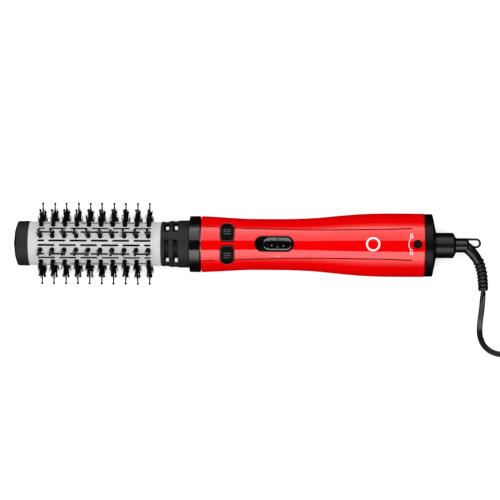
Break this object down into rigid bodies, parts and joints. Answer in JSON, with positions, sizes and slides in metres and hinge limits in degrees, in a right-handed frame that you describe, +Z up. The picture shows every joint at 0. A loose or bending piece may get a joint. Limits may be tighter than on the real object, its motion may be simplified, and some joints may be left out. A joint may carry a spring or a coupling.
{
  "type": "rotating hot-air styling brush",
  "caption": "Red hot-air hair styling brush with a rotating bristled ceramic barrel, vented collar, black trim, a hanging loop and a coiled mains cord.",
  "frame": {"origin": "bottom centre of the brush's bounding box without its cord, on the table it lies on", "axes": "+X from the cool tip to the cord end, +Z up through the controls, +Y across the handle"},
  "size_m": [0.509, 0.1309, 0.0694],
  "materials": {
    "red_shell": "gloss",
    "gloss_black": "gloss",
    "satin_black": "satin",
    "ceramic_coat": "satin",
    "bristle": "satin",
    "white_plastic": "satin",
    "steel": "brushed",
    "mica": "matte",
    "nichrome": "satin",
    "board": "satin",
    "cord_black": "matte"
  },
  "bodies": {
    "handle": {"upper_shell": "red_shell", "lower_shell": "red_shell", "housing_screw_1": "steel", "housing_screw_2": "steel", "housing_screw_3": "steel", "front_ring": "gloss_black", "collar_bush": "white_plastic", "air_duct": "steel", "left_microswitch": "satin_black", "right_microswitch": "satin_black", "switch_bridge": "satin_black", "switch_bezel": "gloss_black", "slide_switch_body": "satin_black", "control_board": "board", "heater_tube": "mica", "heater_cross": "mica", "heating_coil": "nichrome", "thermostat": "steel", "gearbox_case": "satin_black", "gearbox_cover": "satin_black", "drive_motor": "steel", "fan_motor": "steel", "fan_frame": "satin_black", "swivel_bracket": "satin_black", "inlet_filter": "steel", "supply_lead": "cord_black"},
    "head": {"end_cap_disc": "satin_black", "end_cap": "satin_black", "tip_screw": "steel", "barrel_sleeve": "ceramic_coat", "bristle_strip_01": "bristle", "bristle_strip_02": "bristle", "bristle_strip_03": "bristle", "bristle_strip_04": "bristle", "bristle_strip_05": "bristle", "bristle_strip_06": "bristle", "bristle_strip_07": "bristle", "bristle_strip_08": "bristle", "bristle_strip_09": "bristle", "bristle_strip_10": "bristle", "collar": "satin_black", "drive_shaft": "steel", "output_gear": "white_plastic"},
    "layshaft": {"layshaft_gear": "white_plastic"},
    "motor_shaft": {"motor_pinion": "steel"},
    "fan": {"fan_impeller": "white_plastic"},
    "left_button": {"left_button": "gloss_black"},
    "right_button": {"right_button": "gloss_black"},
    "power_slider": {"slide_button": "gloss_black"},
    "lock_knob": {"lock_knob": "satin_black"},
    "rear_cover": {"rear_cover": "satin_black"},
    "cord_swivel": {"swivel_hub": "satin_black", "strain_relief": "cord_black", "hanging_loop": "cord_black", "cord": "cord_black", "cord_coil": "cord_black", "coil_tie": "cord_black", "cord_tail": "cord_black", "plug": "cord_black"}
  },
  "joints": [
    {"name": "head_spin", "type": "hinge", "parent": "handle", "child": "head", "pos_m": [-0.05835, 0, 0.03274], "axis": [0.9996, 0, -0.028], "continuous": true},
    {"name": "layshaft_spin", "type": "hinge", "parent": "handle", "child": "layshaft", "pos_m": [0.02534, 0, 0.02039], "axis": [0.9996, 0, -0.028], "continuous": true},
    {"name": "motor_spin", "type": "hinge", "parent": "handle", "child": "motor_shaft", "pos_m": [0.02562, 0, 0.03038], "axis": [0.9996, 0, -0.028], "continuous": true},
    {"name": "fan_spin", "type": "hinge", "parent": "handle", "child": "fan", "pos_m": [0.11958, 0, 0.02775], "axis": [0.9996, 0, -0.028], "continuous": true},
    {"name": "left_button_press", "type": "slide", "parent": "handle", "child": "left_button", "axis": [-0.025, 0.454, -0.8907], "range_m": [0, 0.0012], "stiffness_N_per_m": 800},
    {"name": "right_button_press", "type": "slide", "parent": "handle", "child": "right_button", "axis": [-0.025, -0.454, -0.8907], "range_m": [0, 0.0012], "stiffness_N_per_m": 800},
    {"name": "power_slide", "type": "slide", "parent": "handle", "child": "power_slider", "axis": [0.9996, 0, -0.028], "range_m": [-0.0058, 0]},
    {"name": "lock_turn", "type": "hinge", "parent": "handle", "child": "lock_knob", "pos_m": [0.14405, 0, 0.05487], "axis": [0.028, 0, 0.9996], "range_deg": [0, 90]},
    {"name": "cover_slide", "type": "slide", "parent": "handle", "child": "rear_cover", "axis": [0.9996, 0, -0.028], "range_m": [0, 0.012]},
    {"name": "cord_turn", "type": "hinge", "parent": "handle", "child": "cord_swivel", "pos_m": [0.15157, 0, 0.02685], "axis": [0.9996, 0, -0.028], "continuous": true}
  ],
  "couplings": [
    {"joint": "layshaft_spin", "follows": "head_spin", "ratio": -3},
    {"joint": "motor_spin", "follows": "head_spin", "ratio": 9}
  ]
}
